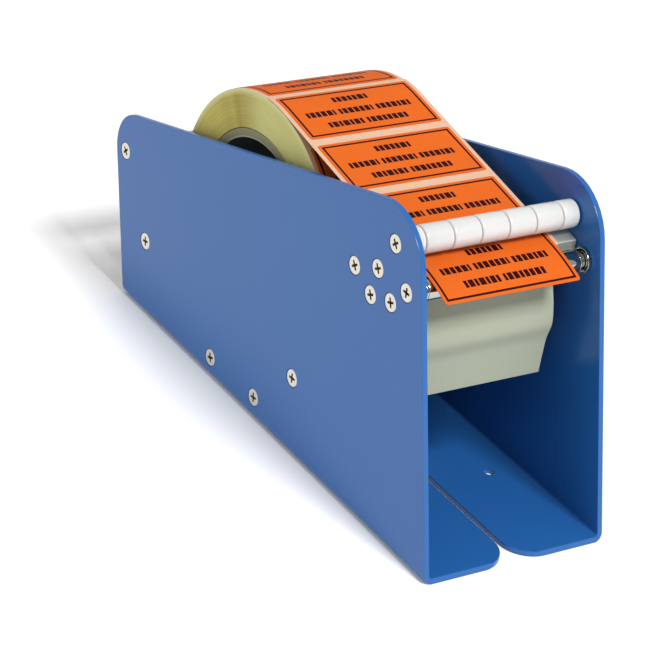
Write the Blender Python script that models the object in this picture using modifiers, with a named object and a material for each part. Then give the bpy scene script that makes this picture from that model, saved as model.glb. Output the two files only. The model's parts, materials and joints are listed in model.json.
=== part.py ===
"""A manual label dispenser: two bent side plates, cross rods and bars, a cradled label roll and its web.

Metres, +Z up, +X across the machine, the labels come out towards -Y. The origin is the middle of the base.
"""

import math

import bmesh
import bpy
from mathutils import Matrix

# Clearances
fit_gap = 0.0003
overrun = 0.0040
merge_gap = fit_gap / 100

# Sheet metal side plates
sheet = 0.0025
bend_radius = 0.0040
edge_round = 0.0004
front_edge_length = 0.1550
edge_lean = math.radians(15.3)
front_corner_radius = 0.0260
rear_corner_radius = 0.0180
rear_margin = 0.0152
slit = 0.0025
flange_corner_radius = 0.0140
flange_hole_diameter = 0.0050
flange_hole_inset = 0.0170
flange_hole_front = 0.0595
flange_hole_rear = 0.0570

# Cradle rods, from the front corner of the base backwards, and their heights
cradle_front_y = 0.1112
cradle_front_z = 0.0348
cradle_low_step = 0.0270
cradle_low_z = 0.0100
cradle_seat_step = 0.0378
cradle_seat_z = 0.0093
cradle_rear_step = 0.0656
cradle_rear_z = 0.0348

# Rear spacer bar, from the centre of the rear top corner's arc
spacer_back = 0.0093
spacer_drop = 0.0027
spacer_diameter = 0.0100

# Front mechanism, from the centre of the front top corner's arc
pressure_forward = 0.0053
pressure_up = 0.0104
peel_front_back = 0.0037
peel_front_drop = 0.0052
peel_rear_back = 0.0194
peel_rear_drop = 0.0118
guide_front_forward = 0.0079
guide_front_drop = 0.0146
guide_rear_back = 0.0060
guide_rear_drop = 0.0183
chrome_forward = 0.0171
chrome_drop = 0.0054

# Countersunk cross recess screws
screw_head_diameter = 0.0078
screw_head_lip = 0.0003
screw_head_cone = 0.0019
screw_shank_diameter = 0.0040
screw_length = 0.0120
screw_bore_spare = 0.0010
recess_span = 0.0044
recess_width = 0.0010
recess_depth = 0.0013

# Rollers
axle_diameter = 0.0080
sleeve_diameter = 0.0120
sleeve_side_play = 0.0005
sleeve_chamfer = 0.0005
full_sleeves = 5
full_sleeve_length = 0.0135
chrome_axle_diameter = 0.0070
chrome_roller_diameter = 0.0096
chrome_neck = 0.0026
clip_diameter = 0.0100
clip_thickness = 0.0008
collar_diameter = 0.0110
collar_width = 0.0014

# Peel bar and liner guide bar
peel_thickness = 0.0080
peel_rear_overhang = 0.0070
peel_nose_radius = 0.0006
peel_nose_forward = 0.0103
peel_nose_up = 0.0003
peel_under_height = 0.0030
guide_thickness = 0.0070

# Label roll and its web
liner_width = 0.0700
play_left = 0.0050
play_right = 0.0100
liner_thickness = 0.0003
core_bore_diameter = 0.0820
core_wall = 0.0040
roll_radius = 0.0620
roll_edge_chamfer = 0.0003
label_thickness = 0.0002
label_width = 0.0660
label_height = 0.0315
label_gap = 0.0045
label_reach = 0.0213
label_droop = 0.0028
label_over_roller = 0.0011
tail_drops = (0.0050, 0.0110, 0.0190, 0.0270, 0.0350, 0.0436)
tail_forwards = (0.0016, 0.0036, 0.0049, 0.0030, 0.0024, 0.0020)

# Facets round each kind of turned piece
screw_facets = 16
axle_facets = 16
sleeve_facets = 24
core_facets = 56
roll_facets = 72
corner_facets = 10
flange_facets = 8
curve_steps = 8
tail_steps = 3

# Sizes that follow
label_pitch = label_height + label_gap
inner_width = liner_width + play_left + play_right
overall_width = inner_width + 2 * sheet
rod_length = inner_width - 2 * fit_gap
liner_middle = -inner_width / 2 + play_left + liner_width / 2
base_length = cradle_front_y + cradle_low_step + cradle_seat_step + cradle_rear_step + rear_margin
sleeve_bore_diameter = axle_diameter + 2 * fit_gap
chrome_bore_diameter = chrome_axle_diameter + 2 * fit_gap
screw_bore_diameter = screw_shank_diameter + 2 * fit_gap
core_radius = core_bore_diameter / 2 + core_wall
full_turn = 2 * math.pi
crease_angle = math.radians(35)
eased_angle = math.radians(50)

parts = bpy.data.collections.new("label_dispenser")
cutters = bpy.data.collections.new("cutters")


def polar(centre, radius, angle):
    """The point on a circle in the side view, with the angle from +Y towards +Z."""
    return (centre[0] + radius * math.cos(angle), centre[1] + radius * math.sin(angle))


def arc(centre, radius, start, end, steps):
    return [polar(centre, radius, start + (end - start) * i / steps) for i in range(steps + 1)]


def add(a, b):
    return (a[0] + b[0], a[1] + b[1])


def along(point, direction, distance):
    return (point[0] + direction[0] * distance, point[1] + direction[1] * distance)


def unit(vector):
    size = math.hypot(vector[0], vector[1])
    return (vector[0] / size, vector[1] / size)


def between(a, b):
    """The direction from a to b."""
    return unit((b[0] - a[0], b[1] - a[1]))


def left_of(direction):
    """The direction a quarter turn on from +Y towards +Z."""
    return (-direction[1], direction[0])


def crossing(a, a_direction, b, b_direction):
    """The point where two lines in the side view meet."""
    cross = a_direction[0] * b_direction[1] - a_direction[1] * b_direction[0]
    share = ((b[0] - a[0]) * b_direction[1] - (b[1] - a[1]) * b_direction[0]) / cross
    return along(a, a_direction, share)


def plate_corners():
    """The side plate's four corners before rounding: front bottom, front top, rear top and rear bottom."""
    up = (math.sin(edge_lean), math.cos(edge_lean))
    back = (math.cos(edge_lean), -math.sin(edge_lean))
    front_bottom = (0, 0)
    rear_bottom = (base_length, 0)
    front_top = along(front_bottom, up, front_edge_length)
    rear_top = crossing(front_top, back, rear_bottom, up)
    return front_bottom, front_top, rear_top, rear_bottom


def corner_centre(corner, before, after, radius):
    """The centre of the arc that rounds a square corner between its neighbours."""
    return along(along(corner, between(corner, before), radius), between(corner, after), radius)


front_bottom, front_top, rear_top, rear_bottom = plate_corners()
front_arc_centre = corner_centre(front_top, front_bottom, rear_top, front_corner_radius)
rear_arc_centre = corner_centre(rear_top, front_top, rear_bottom, rear_corner_radius)
overall_depth = rear_arc_centre[0] + rear_corner_radius

pressure_axis = add(front_arc_centre, (-pressure_forward, pressure_up))
peel_front_axis = add(front_arc_centre, (peel_front_back, -peel_front_drop))
peel_rear_axis = add(front_arc_centre, (peel_rear_back, -peel_rear_drop))
guide_front_axis = add(front_arc_centre, (-guide_front_forward, -guide_front_drop))
guide_rear_axis = add(front_arc_centre, (guide_rear_back, -guide_rear_drop))
chrome_axis = add(front_arc_centre, (-chrome_forward, -chrome_drop))
spacer_axis = add(rear_arc_centre, (spacer_back, -spacer_drop))
cradle_front_axis = (cradle_front_y, cradle_front_z)
cradle_low_axis = (cradle_front_y + cradle_low_step, cradle_low_z)
cradle_seat_axis = (cradle_low_axis[0] + cradle_seat_step, cradle_seat_z)
cradle_rear_axis = (cradle_seat_axis[0] + cradle_rear_step, cradle_rear_z)
cradle_axes = {
    "front": cradle_front_axis,
    "low": cradle_low_axis,
    "seat": cradle_seat_axis,
    "rear": cradle_rear_axis,
}
screw_axes = {
    "spacer": spacer_axis,
    "cradle_rear": cradle_rear_axis,
    "cradle_seat": cradle_seat_axis,
    "cradle_low": cradle_low_axis,
    "cradle_front": cradle_front_axis,
    "pressure_roller": pressure_axis,
    "peel_bar_rear": peel_rear_axis,
    "peel_bar_front": peel_front_axis,
    "guide_bar_rear": guide_rear_axis,
    "guide_bar_front": guide_front_axis,
    "chrome_roller": chrome_axis,
}


def resting_centre():
    """The roll's centre, where it rests on the front and seat rollers of the cradle."""
    reach = roll_radius + sleeve_diameter / 2 + fit_gap
    direction = between(cradle_front_axis, cradle_seat_axis)
    half = math.dist(cradle_front_axis, cradle_seat_axis) / 2
    middle = along(cradle_front_axis, direction, half)
    return along(middle, left_of(direction), math.sqrt(reach**2 - half**2))


roll_axis = resting_centre()
peel_nose_axis = add(front_arc_centre, (-peel_nose_forward, peel_nose_up))
wrap_radius = roll_radius + fit_gap + liner_thickness / 2
nose_wrap_radius = peel_nose_radius + fit_gap + liner_thickness / 2
label_lift = liner_thickness / 2 + fit_gap
label_roller_radius = chrome_roller_diameter / 2 + label_over_roller


def line_over(front, front_radius, rear, rear_radius):
    """The direction of the straight line that lies on top of two circles, from the front one backwards."""
    rise = between(front, rear)
    tilt = math.asin((rear_radius - front_radius) / math.dist(front, rear))
    slope = math.atan2(rise[1], rise[0]) + tilt
    return (math.cos(slope), math.sin(slope))


web_back = line_over(peel_nose_axis, nose_wrap_radius, roll_axis, wrap_radius)
web_up = left_of(web_back)
label_back = line_over(chrome_axis, label_roller_radius, peel_nose_axis, nose_wrap_radius + label_lift)
label_up = left_of(label_back)


def world(point):
    """A point of the side view, measured from the front edge, about the object's own origin."""
    return (point[0] - overall_depth / 2, point[1])


def material(name, colour, roughness, metallic=0.0):
    made = bpy.data.materials.new(name)
    made.use_nodes = True
    shader = made.node_tree.nodes["Principled BSDF"]
    shader.inputs["Base Color"].default_value = (*colour, 1.0)
    shader.inputs["Roughness"].default_value = roughness
    shader.inputs["Metallic"].default_value = metallic
    made.diffuse_color = (*colour, 1.0)
    return made


def place(obj, collection=None):
    (collection or parts).objects.link(obj)
    return obj


def finish(obj, surface):
    """One material on every face, and round sides shaded smooth."""
    obj.data.materials.clear()
    obj.data.materials.append(surface)
    obj.data.shade_smooth()
    obj.data.set_sharp_from_angle(angle=crease_angle)
    return obj


def side_extrusion(name, outline, half_width, middle=0.0, collection=None):
    """A closed outline of the side view, drawn across the machine as a solid."""
    curve = bpy.data.curves.new(name, "CURVE")
    curve.dimensions = "2D"
    curve.fill_mode = "BOTH"
    curve.extrude = half_width
    spline = curve.splines.new("POLY")
    spline.points.add(len(outline) - 1)
    for point, (y, z) in zip(spline.points, outline):
        point.co = (y, z, 0, 1)
    spline.use_cyclic_u = True
    across = Matrix(((0, 0, 1, middle), (1, 0, 0, -overall_depth / 2), (0, 1, 0, 0), (0, 0, 0, 1)))
    return curve_to_solid(name, curve, across, collection)


def plan_extrusion(name, outline, height, collection=None):
    """A closed outline of the plan, drawn up and down from the floor as a solid."""
    curve = bpy.data.curves.new(name, "CURVE")
    curve.dimensions = "2D"
    curve.fill_mode = "BOTH"
    curve.extrude = height
    spline = curve.splines.new("POLY")
    spline.points.add(len(outline) - 1)
    for point, (x, y) in zip(spline.points, outline):
        point.co = (x, y - overall_depth / 2, 0, 1)
    spline.use_cyclic_u = True
    return curve_to_solid(name, curve, Matrix.Identity(4), collection)


def curve_to_solid(name, curve, placing, collection=None):
    """A closed mesh from a filled curve, with its caps welded, turned so that its faces point out."""
    drawn = bpy.data.objects.new(name + "_outline", curve)
    bpy.context.scene.collection.objects.link(drawn)
    drawn.matrix_world = placing
    bpy.context.view_layer.update()
    mesh = bpy.data.meshes.new_from_object(drawn.evaluated_get(bpy.context.evaluated_depsgraph_get()))
    bm = bmesh.new()
    bm.from_mesh(mesh)
    bmesh.ops.remove_doubles(bm, verts=bm.verts, dist=merge_gap)
    bmesh.ops.recalc_face_normals(bm, faces=bm.faces)
    bm.to_mesh(mesh)
    bm.free()
    mesh.name = name
    solid = place(bpy.data.objects.new(name, mesh), collection)
    solid.matrix_world = placing
    bpy.data.objects.remove(drawn)
    return solid


def turned(name, profile, facets, axis, middle=0.0, closed=False, collection=None):
    """A profile of radius and distance along the axis, turned round an axis across the machine."""
    mesh = bpy.data.meshes.new(name)
    count = len(profile)
    edges = [(i, i + 1) for i in range(count - 1)]
    if closed:
        edges.append((count - 1, 0))
    mesh.from_pydata([(radius, 0, height) for radius, height in profile], edges, [])
    obj = place(bpy.data.objects.new(name, mesh), collection)
    y, z = world(axis)
    obj.location = (middle, y, z)
    obj.rotation_euler = (0, math.pi / 2, 0)
    screw = obj.modifiers.new("turn", "SCREW")
    screw.axis = "Z"
    screw.angle = full_turn
    screw.steps = facets
    screw.render_steps = facets
    screw.use_merge_vertices = True
    screw.merge_threshold = merge_gap
    return obj


def baked(obj):
    """The object's modifiers made part of its own mesh, so that a Boolean can follow."""
    bpy.context.view_layer.update()
    mesh = bpy.data.meshes.new_from_object(obj.evaluated_get(bpy.context.evaluated_depsgraph_get()))
    obj.modifiers.clear()
    obj.data = mesh
    return obj


def boolean(obj, tool, operation):
    """Cuts or trims a solid with another, which stays as a hidden guide."""
    change = obj.modifiers.new(tool.name, "BOOLEAN")
    change.operation = operation
    change.solver = "EXACT"
    change.object = tool
    tool.hide_render = True
    tool.display_type = "WIRE"
    return obj


def rod_profile(radius, length, bore_radius, bore_depth):
    """A round rod with a blind screw bore in each end, from the top end down its outer side."""
    half = length / 2
    floor = half - bore_depth
    return [
        (0, floor),
        (bore_radius, floor),
        (bore_radius, half),
        (radius, half),
        (radius, -half),
        (bore_radius, -half),
        (bore_radius, -floor),
        (0, -floor),
    ]


def rod(name, axis, diameter, surface, facets=axle_facets):
    """A cross rod between the side plates, bored for a screw at each end."""
    bore_depth = screw_length - sheet + screw_bore_spare
    profile = rod_profile(diameter / 2, rod_length, screw_bore_diameter / 2, bore_depth)
    return finish(baked(turned(name, profile, facets, axis)), surface)


def tube_profile(outer, inner, length, chamfer):
    """A sleeve, its outer rims chamfered or square, from the top end down its outer side and up its bore."""
    half = length / 2
    if chamfer == 0:
        return [(inner, half), (outer, half), (outer, -half), (inner, -half)]
    return [
        (inner, half),
        (outer - chamfer, half),
        (outer, half - chamfer),
        (outer, -half + chamfer),
        (outer - chamfer, -half),
        (inner, -half),
    ]


def tube(name, axis, outside, bore, length, chamfer, surface, middle=0.0, facets=sleeve_facets):
    """A sleeve of given outside and bore diameters, round an axis across the machine."""
    profile = tube_profile(outside / 2, bore / 2, length, chamfer)
    return finish(baked(turned(name, profile, facets, axis, middle, closed=True)), surface)


def side_outline():
    """The side plate's outline with its rounded top corners, and room below for the flange."""
    up = between(front_bottom, front_top)
    top = between(front_top, rear_top)
    front_out = math.atan2(up[1], up[0]) + math.pi / 2
    top_out = math.atan2(top[1], top[0]) + math.pi / 2
    front_round = arc(front_arc_centre, front_corner_radius, front_out, top_out, corner_facets)
    rear_round = arc(rear_arc_centre, rear_corner_radius, top_out, top_out - math.pi / 2, corner_facets)
    below = [(rear_bottom[0], -overrun), (front_bottom[0], -overrun)]
    return [front_bottom, *front_round, *rear_round, rear_bottom, *below]


def flange_plan(side):
    """The plate's plan: the flange with rounded inner corners, and room outside the plate."""
    inner = slit / 2
    outer = overall_width / 2 + overrun
    radius = flange_corner_radius
    front = arc((inner + radius, radius), radius, math.pi, 1.5 * math.pi, flange_facets)
    rear = arc((inner + radius, base_length - radius), radius, math.pi / 2, math.pi, flange_facets)
    rear_room = overall_depth - base_length + overrun
    outline = [
        *front,
        (overall_width / 2 - bend_radius, 0),
        (overall_width / 2 - bend_radius, -overrun),
        (outer, -overrun),
        (outer, base_length + rear_room),
        (overall_width / 2 - bend_radius, base_length + rear_room),
        (overall_width / 2 - bend_radius, base_length),
        *rear,
    ]
    return [(side * x, y) for x, y in outline]


def bent_section():
    """The right plate's L section, upright sheet, bend and flange, as points of width and height."""
    outer = overall_width / 2
    top = front_arc_centre[1] + front_corner_radius + overrun
    centre = (outer - bend_radius, bend_radius)
    outside = arc(centre, bend_radius, 0, -math.pi / 2, flange_facets)
    inside = arc(centre, bend_radius - sheet, -math.pi / 2, 0, flange_facets)
    return [(outer, top), *outside, (-overrun, 0), (-overrun, sheet), *inside, (outer - sheet, top)]


def bent_sheet(name, side):
    """The L section drawn along the machine, longer than the plate at both ends."""
    curve = bpy.data.curves.new(name, "CURVE")
    curve.dimensions = "2D"
    curve.fill_mode = "BOTH"
    curve.extrude = overall_depth / 2 + overrun
    section = [(side * x, z) for x, z in bent_section()]
    spline = curve.splines.new("POLY")
    spline.points.add(len(section) - 1)
    for point, (x, z) in zip(spline.points, section):
        point.co = (x, z, 0, 1)
    spline.use_cyclic_u = True
    upright = Matrix(((1, 0, 0, 0), (0, 0, -1, 0), (0, 1, 0, 0), (0, 0, 0, 1)))
    return curve_to_solid(name, curve, upright)


def countersink(name, side, axis):
    """A cutter for one screw: a clearance hole through the sheet and a cone for the head."""
    head = screw_head_diameter / 2 + fit_gap
    hole = screw_bore_diameter / 2
    lip = screw_head_lip + fit_gap
    cone = screw_head_cone
    profile = [(0, overrun), (head, overrun), (head, -lip), (hole, -lip - cone), (hole, -sheet - overrun)]
    profile.append((0, -sheet - overrun))
    cutter = turned(name, profile, screw_facets, axis, side * overall_width / 2, collection=cutters)
    cutter.rotation_euler = (0, side * math.pi / 2, 0)
    return baked(cutter)


def flange_hole(name, x, y):
    cutter_height = 2 * (sheet + overrun)
    bpy.ops.mesh.primitive_cylinder_add(
        vertices=screw_facets,
        radius=flange_hole_diameter / 2,
        depth=cutter_height,
        location=(x, y - overall_depth / 2, 0),
    )
    hole = bpy.context.object
    hole.name = name
    for owner in hole.users_collection:
        owner.objects.unlink(hole)
    return place(hole, cutters)


def side_plate(name, side, surface):
    """A bent plate: the L section trimmed to its side outline and plan, edges eased, then drilled."""
    plate = bent_sheet(name, side)
    reach = overall_width / 2 + overrun
    profile = side_extrusion(name + "_profile", side_outline(), reach, collection=cutters)
    height = front_arc_centre[1] + front_corner_radius + 2 * overrun
    plan = plan_extrusion(name + "_plan", flange_plan(side), height, cutters)
    boolean(plate, profile, "INTERSECT")
    boolean(plate, plan, "INTERSECT")
    baked(plate)
    bevel = plate.modifiers.new("eased_edges", "BEVEL")
    bevel.width = edge_round
    bevel.segments = 2
    bevel.limit_method = "ANGLE"
    bevel.angle_limit = eased_angle
    baked(plate)
    for screw, axis in screw_axes.items():
        boolean(plate, countersink(name + "_" + screw, side, axis), "DIFFERENCE")
    hole_x = side * (overall_width / 2 - flange_hole_inset)
    for end, y in (("front", flange_hole_front), ("rear", base_length - flange_hole_rear)):
        boolean(plate, flange_hole(name + "_" + end + "_hole", hole_x, y), "DIFFERENCE")
    return finish(baked(plate), surface)


def screw_mesh():
    """One countersunk screw along +Z, its head's face at the origin, with a tapered cross recess."""
    head = screw_head_diameter / 2
    shank = screw_shank_diameter / 2
    tip = screw_length - shank / 2
    neck = screw_head_lip + screw_head_cone
    profile = [(0, 0), (head, 0), (head, -screw_head_lip), (shank, -neck), (shank, -tip)]
    profile += [(shank / 2, -screw_length), (0, -screw_length)]
    body = turned("screw_body", profile, screw_facets, (0, 0), collection=cutters)
    body.location = (0, 0, 0)
    body.rotation_euler = (0, 0, 0)
    baked(body)
    for turn in (0, math.pi / 2):
        boolean(body, recess_blade(turn), "DIFFERENCE")
    mesh = baked(body).data
    bpy.data.objects.remove(body)
    return mesh


def recess_blade(turn):
    """One bar of the cross recess, narrower at its foot than at the head's face."""
    bm = bmesh.new()
    bmesh.ops.create_cube(bm, size=1.0)
    foot_share = 0.55
    for vertex in bm.verts:
        share = foot_share if vertex.co.z < 0 else 1.0
        vertex.co.x *= recess_span * share
        vertex.co.y *= recess_width
        vertex.co.z *= 2 * recess_depth
    mesh = bpy.data.meshes.new("recess_blade")
    bm.to_mesh(mesh)
    bm.free()
    blade = place(bpy.data.objects.new("recess_blade", mesh), cutters)
    blade.rotation_euler = (0, 0, turn)
    return blade


def screws(surface):
    """A screw for every cross piece on each side, all from one mesh, each turned a little differently."""
    mesh = screw_mesh()
    mesh.materials.clear()
    mesh.materials.append(surface)
    mesh.shade_smooth()
    mesh.set_sharp_from_angle(angle=crease_angle)
    sink = fit_gap / 2
    for side, side_name in ((-1, "left"), (1, "right")):
        for index, (piece, axis) in enumerate(screw_axes.items()):
            y, z = world(axis)
            obj = place(bpy.data.objects.new("screw_" + piece + "_" + side_name, mesh))
            facing = Matrix.Rotation(side * math.pi / 2, 4, "Y")
            spin = Matrix.Rotation(full_turn * index * side / len(screw_axes) ** 0.5, 4, "Z")
            spot = Matrix.Translation((side * (overall_width / 2 - sink), y, z))
            obj.matrix_world = spot @ facing @ spin


def cradle(axle_surface, sleeve_surface):
    """Four axles with free sleeves, which the roll lies on."""
    length = inner_width - 2 * sleeve_side_play
    for name, axis in cradle_axes.items():
        rod("cradle_axle_" + name, axis, axle_diameter, axle_surface)
        sleeve = (sleeve_diameter, sleeve_bore_diameter, length, sleeve_chamfer, sleeve_surface)
        tube("cradle_roller_" + name, axis, *sleeve)


def pressure_roller(axle_surface, sleeve_surface):
    """The axle over the web with its row of loose white sleeves: full ones between two short ends."""
    rod("pressure_roller_axle", pressure_axis, axle_diameter, axle_surface)
    room = inner_width - 2 * sleeve_side_play
    end_length = (room - full_sleeves * full_sleeve_length) / 2
    lengths = [end_length, *[full_sleeve_length] * full_sleeves, end_length]
    start = -room / 2
    for number, length in enumerate(lengths, 1):
        sleeve = (sleeve_diameter, sleeve_bore_diameter, length - fit_gap, sleeve_chamfer, sleeve_surface)
        tube(f"pressure_sleeve_{number}", pressure_axis, *sleeve, start + length / 2)
        start += length


def chrome_roller(surface):
    """The bright roller under the dispensed label: axle, free tube, a clip and a collar at each end."""
    rod("chrome_roller_axle", chrome_axis, chrome_axle_diameter, surface, sleeve_facets)
    collar_middle = rod_length / 2 - collar_width / 2
    clip_middle = rod_length / 2 - collar_width - chrome_neck - clip_thickness / 2
    length = 2 * (clip_middle - clip_thickness / 2 - fit_gap)
    bore = chrome_bore_diameter
    tube("chrome_roller", chrome_axis, chrome_roller_diameter, bore, length, sleeve_chamfer, surface)
    for side, side_name in ((-1, "left"), (1, "right")):
        name = "roller_clip_" + side_name
        tube(name, chrome_axis, clip_diameter, bore, clip_thickness, 0, surface, side * clip_middle)
        name = "roller_collar_" + side_name
        tube(name, chrome_axis, collar_diameter, bore, collar_width, 0, surface, side * collar_middle)


def bar_bores(bar, axes):
    """Blind screw bores in both ends of a cross bar."""
    depth = screw_length - sheet + screw_bore_spare
    for number, axis in enumerate(axes):
        for side in (-1, 1):
            profile_depth = depth + overrun
            radius = screw_bore_diameter / 2
            profile = [(0, overrun), (radius, overrun), (radius, overrun - profile_depth)]
            profile.append((0, overrun - profile_depth))
            name = f"{bar.name}_bore_{number}_{side}"
            cutter = turned(name, profile, screw_facets, axis, side * rod_length / 2, collection=cutters)
            cutter.rotation_euler = (0, side * math.pi / 2, 0)
            boolean(bar, baked(cutter), "DIFFERENCE")
    return baked(bar)


def peel_bar(surface):
    """A flat bar whose wedge nose turns the liner back and lets the label go."""
    forward = between(peel_rear_axis, peel_front_axis)
    over = (forward[1], -forward[0])
    half = peel_thickness / 2
    top_rear = along(along(peel_rear_axis, forward, -peel_rear_overhang), over, half)
    low_rear = along(along(peel_rear_axis, forward, -peel_rear_overhang), over, -half)
    nose_top = along(peel_nose_axis, web_up, peel_nose_radius)
    top_break = crossing(top_rear, forward, nose_top, web_back)
    facing = math.atan2(web_up[1], web_up[0])
    nose = arc(peel_nose_axis, peel_nose_radius, facing, math.pi, curve_steps)
    front_low = (peel_nose_axis[0] - peel_nose_radius, peel_nose_axis[1] - peel_under_height)
    low_front = crossing(low_rear, forward, front_low, left_of(forward))
    outline = [top_rear, top_break, *nose, front_low, low_front, low_rear]
    bar = side_extrusion("peel_bar", outline, rod_length / 2)
    return finish(bar_bores(bar, (peel_rear_axis, peel_front_axis)), surface)


def guide_bar(surface):
    """The lower flat bar with round edges, which the returning liner passes in front of."""
    back = between(guide_front_axis, guide_rear_axis)
    tilt = math.atan2(back[1], back[0])
    half = guide_thickness / 2
    quarter = math.pi / 2
    front = arc(guide_front_axis, half, tilt + quarter, tilt + 3 * quarter, 2 * curve_steps)
    rear = arc(guide_rear_axis, half, tilt - quarter, tilt + quarter, 2 * curve_steps)
    bar = side_extrusion("liner_guide_bar", [*front, *rear], rod_length / 2)
    return finish(bar_bores(bar, (guide_front_axis, guide_rear_axis)), surface)


def label_roll(paper, card):
    """The wound labels and their cardboard core, resting on the cradle."""
    chamfer = roll_edge_chamfer
    roll = (2 * roll_radius, 2 * (core_radius + fit_gap), liner_width, chamfer, paper)
    core = (2 * core_radius, core_bore_diameter, liner_width, chamfer, card)
    tube("label_roll", roll_axis, *roll, liner_middle, roll_facets)
    tube("roll_core", roll_axis, *core, liner_middle, core_facets)


def web_length():
    """The web's free run from the peel bar's nose to the roll."""
    return math.sqrt(math.dist(peel_nose_axis, roll_axis) ** 2 - (wrap_radius - nose_wrap_radius) ** 2)


def web_point(distance, lift):
    """A point over the web's middle surface, from the nose backwards and on round the roll."""
    run = web_length()
    if distance <= run:
        start = along(peel_nose_axis, web_up, nose_wrap_radius + lift)
        return along(start, web_back, distance)
    turn = (distance - run) / wrap_radius
    return polar(roll_axis, wrap_radius + lift, math.atan2(web_up[1], web_up[0]) - turn)


def labels_on_web():
    """How many labels there are from the dispensed one to the one that reaches the roll."""
    return math.ceil((label_reach + web_length() + label_gap) / label_pitch)


def dispensed_point(distance, lift):
    """A point on the label in front of the nose, which passes over the bright roller and droops."""
    start = along(peel_nose_axis, label_up, nose_wrap_radius + lift)
    drop = label_droop * (distance / label_reach) ** 2
    ahead = along(start, label_back, -distance)
    return (ahead[0], ahead[1] - drop)


def strip_outline(under, over):
    """The closed outline of a thin strip, from its points below and above."""
    return [*under, *reversed(over)]


def path_steps(length):
    """How many pieces a curved run takes, with a vertex at least every twelfth of a label."""
    return max(curve_steps, math.ceil(length / (label_height / 12)))


def web_label(number, surface):
    """One label lying on the web, counted from the nose, or the one that has half left it."""
    start = number * label_pitch - label_reach
    end = start + label_height
    steps = path_steps(label_height)
    sides = []
    for lift in (label_lift, label_lift + label_thickness):
        places = [start + (end - start) * i / steps for i in range(steps + 1)]
        sides.append([web_point(s, lift) if s >= 0 else dispensed_point(-s, lift) for s in places])
    name = "dispensed_label" if number == 0 else f"web_label_{number}"
    return finish(side_extrusion(name, strip_outline(*sides), label_width / 2, liner_middle), surface)


def liner_path():
    """The liner's middle line: over the roll's top, along the web, round the nose and down its tail."""
    wrap_end = labels_on_web() * label_pitch - label_reach - label_gap / 2
    run = web_length()
    steps = path_steps(wrap_end - run)
    points = [web_point(wrap_end + (run - wrap_end) * i / steps, 0) for i in range(steps + 1)]
    facing = math.atan2(web_up[1], web_up[0])
    points += arc(peel_nose_axis, nose_wrap_radius, facing, math.pi, curve_steps)
    past_guide = guide_thickness / 2 + fit_gap + liner_thickness / 2
    bends = [add(guide_front_axis, (-past_guide, 0))]
    bends += [add(bends[0], (-forward, -drop)) for drop, forward in zip(tail_drops, tail_forwards)]
    return points + smooth_through(bends)


def smooth_through(bends):
    """Points on one smooth curve through the bends, each span cut in equal steps."""
    last_span = math.dist(bends[-2], bends[-1])
    ends = [bends[0], *bends, along(bends[-1], between(bends[-2], bends[-1]), last_span)]
    made = [bends[0]]
    for before, here, there, after in zip(ends, ends[1:], ends[2:], ends[3:]):
        for step in range(1, tail_steps + 1):
            share = step / tail_steps
            made.append(tuple(spline_value(*four, share) for four in zip(before, here, there, after)))
    return made


def spline_value(before, here, there, after, share):
    """One coordinate of the curve that passes here and there, with its slopes from their neighbours."""
    slope = (there - before) / 2
    next_slope = (after - here) / 2
    bend = 3 * (there - here) - 2 * slope - next_slope
    twist = 2 * (here - there) + slope + next_slope
    return here + slope * share + bend * share**2 + twist * share**3


def offset(path, distance):
    """The path moved sideways by a distance, square to its own direction."""
    moved = []
    for index, point in enumerate(path):
        before = path[max(index - 1, 0)]
        after = path[min(index + 1, len(path) - 1)]
        moved.append(along(point, left_of(between(before, after)), distance))
    return moved


def label_liner(surface):
    """The backing strip, one thin sheet from the roll's top to the tail's torn end."""
    path = liner_path()
    half = liner_thickness / 2
    outline = strip_outline(offset(path, half), offset(path, -half))
    return finish(side_extrusion("label_liner", outline, liner_width / 2, liner_middle), surface)


def build():
    for obj in list(bpy.data.objects):
        bpy.data.objects.remove(obj, do_unlink=True)
    scene = bpy.context.scene
    scene.collection.children.link(parts)
    scene.collection.children.link(cutters)
    blue = material("blue_powder_coat", (0.05, 0.16, 0.50), 0.35)
    zinc = material("zinc_plated_steel", (0.72, 0.72, 0.68), 0.35, 1.0)
    chrome = material("chrome", (0.80, 0.80, 0.80), 0.08, 1.0)
    steel = material("brushed_steel", (0.45, 0.47, 0.43), 0.40, 1.0)
    white = material("white_plastic", (0.86, 0.87, 0.86), 0.30)
    paper = material("roll_paper", (0.62, 0.55, 0.30), 0.80)
    card = material("core_card", (0.36, 0.35, 0.28), 0.85)
    release = material("liner_paper", (0.66, 0.64, 0.50), 0.55)
    orange = material("orange_label", (0.95, 0.20, 0.02), 0.50)
    side_plate("left_side_plate", -1, blue)
    side_plate("right_side_plate", 1, blue)
    screws(zinc)
    rod("rear_spacer_bar", spacer_axis, spacer_diameter, zinc, sleeve_facets)
    cradle(zinc, white)
    pressure_roller(zinc, white)
    chrome_roller(chrome)
    peel_bar(steel)
    guide_bar(steel)
    label_roll(paper, card)
    label_liner(release)
    for number in range(labels_on_web()):
        web_label(number, orange)


build()
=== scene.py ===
"""The looks of a label dispenser: coated plates, screws, rollers, and the printed web with its roll."""

import json
import math

import bmesh
import bpy
from mathutils import Matrix, Vector

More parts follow.
